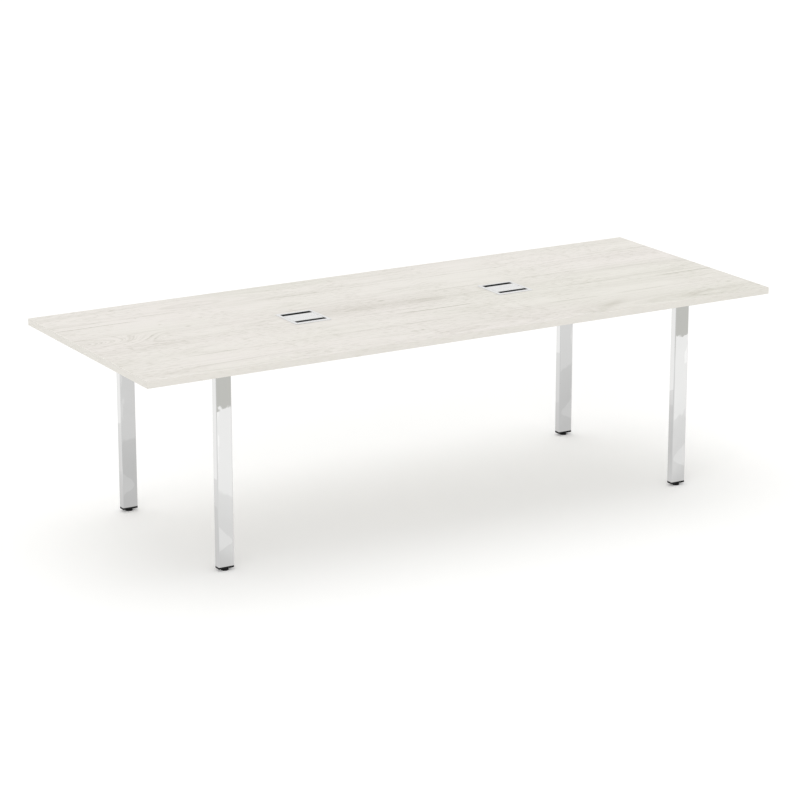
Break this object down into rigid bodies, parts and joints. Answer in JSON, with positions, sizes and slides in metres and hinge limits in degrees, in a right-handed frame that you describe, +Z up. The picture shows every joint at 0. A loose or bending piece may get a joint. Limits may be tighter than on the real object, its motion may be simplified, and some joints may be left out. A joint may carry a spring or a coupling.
{
  "type": "conference table",
  "caption": "Long rectangular conference table: light oak top with hinged cable hatches and brush slots, on inset chromed rectangular tube legs with black levelling feet.",
  "frame": {"origin": "on the floor, under the middle of the table", "axes": "+X along the length of the top, +Y to the back, +Z up"},
  "size_m": [2.58, 0.98, 0.7527],
  "materials": {
    "oak_board": "matt whitened oak laminate",
    "oak_edge": "whitened oak edge band",
    "chrome": "polished chrome plate",
    "grey_paint": "fine-textured grey powder coat",
    "zinc": "bright zinc plate",
    "black_plastic": "moulded, fine grain",
    "silver": "satin anodised",
    "bristle": "nylon bristle"
  },
  "bodies": {
    "table": {"top_board": "oak_board", "edge_band_front": "oak_edge", "edge_band_back": "oak_edge", "edge_band_left": "oak_edge", "edge_band_right": "oak_edge", "leg_front_left": "chrome", "leg_back_left": "chrome", "leg_front_right": "chrome", "leg_back_right": "chrome", "crossbar_left": "chrome", "crossbar_right": "chrome", "stretcher_front": "grey_paint", "stretcher_back": "grey_paint", "stretcher_bolt_left_1": "zinc", "stretcher_bolt_left_2": "zinc", "stretcher_bolt_left_3": "zinc", "stretcher_bolt_left_4": "zinc", "stretcher_bolt_right_1": "zinc", "stretcher_bolt_right_2": "zinc", "stretcher_bolt_right_3": "zinc", "stretcher_bolt_right_4": "zinc", "top_screw_front_left": "zinc", "top_screw_back_left": "zinc", "top_screw_front_right": "zinc", "top_screw_back_right": "zinc", "leg_cap_front_left": "black_plastic", "leg_cap_back_left": "black_plastic", "leg_cap_front_right": "black_plastic", "leg_cap_back_right": "black_plastic", "foot_nut_front_left": "zinc", "foot_nut_back_left": "zinc", "foot_nut_front_right": "zinc", "foot_nut_back_right": "zinc", "hatch_left_frame": "silver", "hatch_left_brush_front": "bristle", "hatch_left_brush_back": "bristle", "hatch_left_clamp_left": "zinc", "hatch_left_clamp_right": "zinc", "hatch_right_frame": "silver", "hatch_right_brush_front": "bristle", "hatch_right_brush_back": "bristle", "hatch_right_clamp_left": "zinc", "hatch_right_clamp_right": "zinc"},
    "foot_front_left": {"foot_spindle_front_left": "zinc", "foot_pad_front_left": "black_plastic"},
    "foot_back_left": {"foot_spindle_back_left": "zinc", "foot_pad_back_left": "black_plastic"},
    "foot_front_right": {"foot_spindle_front_right": "zinc", "foot_pad_front_right": "black_plastic"},
    "foot_back_right": {"foot_spindle_back_right": "zinc", "foot_pad_back_right": "black_plastic"},
    "flap_left_front": {"hatch_left_flap_front": "silver", "hatch_left_pin_front": "zinc"},
    "flap_left_back": {"hatch_left_flap_back": "silver", "hatch_left_pin_back": "zinc"},
    "flap_right_front": {"hatch_right_flap_front": "silver", "hatch_right_pin_front": "zinc"},
    "flap_right_back": {"hatch_right_flap_back": "silver", "hatch_right_pin_back": "zinc"}
  },
  "joints": [
    {"name": "foot_front_left_screw", "type": "slide", "parent": "table", "child": "foot_front_left", "axis": [0, 0, -1], "range_m": [0, 0.015]},
    {"name": "foot_back_left_screw", "type": "slide", "parent": "table", "child": "foot_back_left", "axis": [0, 0, -1], "range_m": [0, 0.015]},
    {"name": "foot_front_right_screw", "type": "slide", "parent": "table", "child": "foot_front_right", "axis": [0, 0, -1], "range_m": [0, 0.015]},
    {"name": "foot_back_right_screw", "type": "slide", "parent": "table", "child": "foot_back_right", "axis": [0, 0, -1], "range_m": [0, 0.015]},
    {"name": "flap_left_front_hinge", "type": "hinge", "parent": "table", "child": "flap_left_front", "pos_m": [-0.43, -0.0047, 0.74825], "axis": [-1, 0, 0], "range_deg": [0, 90]},
    {"name": "flap_left_back_hinge", "type": "hinge", "parent": "table", "child": "flap_left_back", "pos_m": [-0.43, 0.0047, 0.74825], "axis": [1, 0, 0], "range_deg": [0, 90]},
    {"name": "flap_right_front_hinge", "type": "hinge", "parent": "table", "child": "flap_right_front", "pos_m": [0.43, -0.0047, 0.74825], "axis": [-1, 0, 0], "range_deg": [0, 90]},
    {"name": "flap_right_back_hinge", "type": "hinge", "parent": "table", "child": "flap_right_back", "pos_m": [0.43, 0.0047, 0.74825], "axis": [1, 0, 0], "range_deg": [0, 90]}
  ]
}
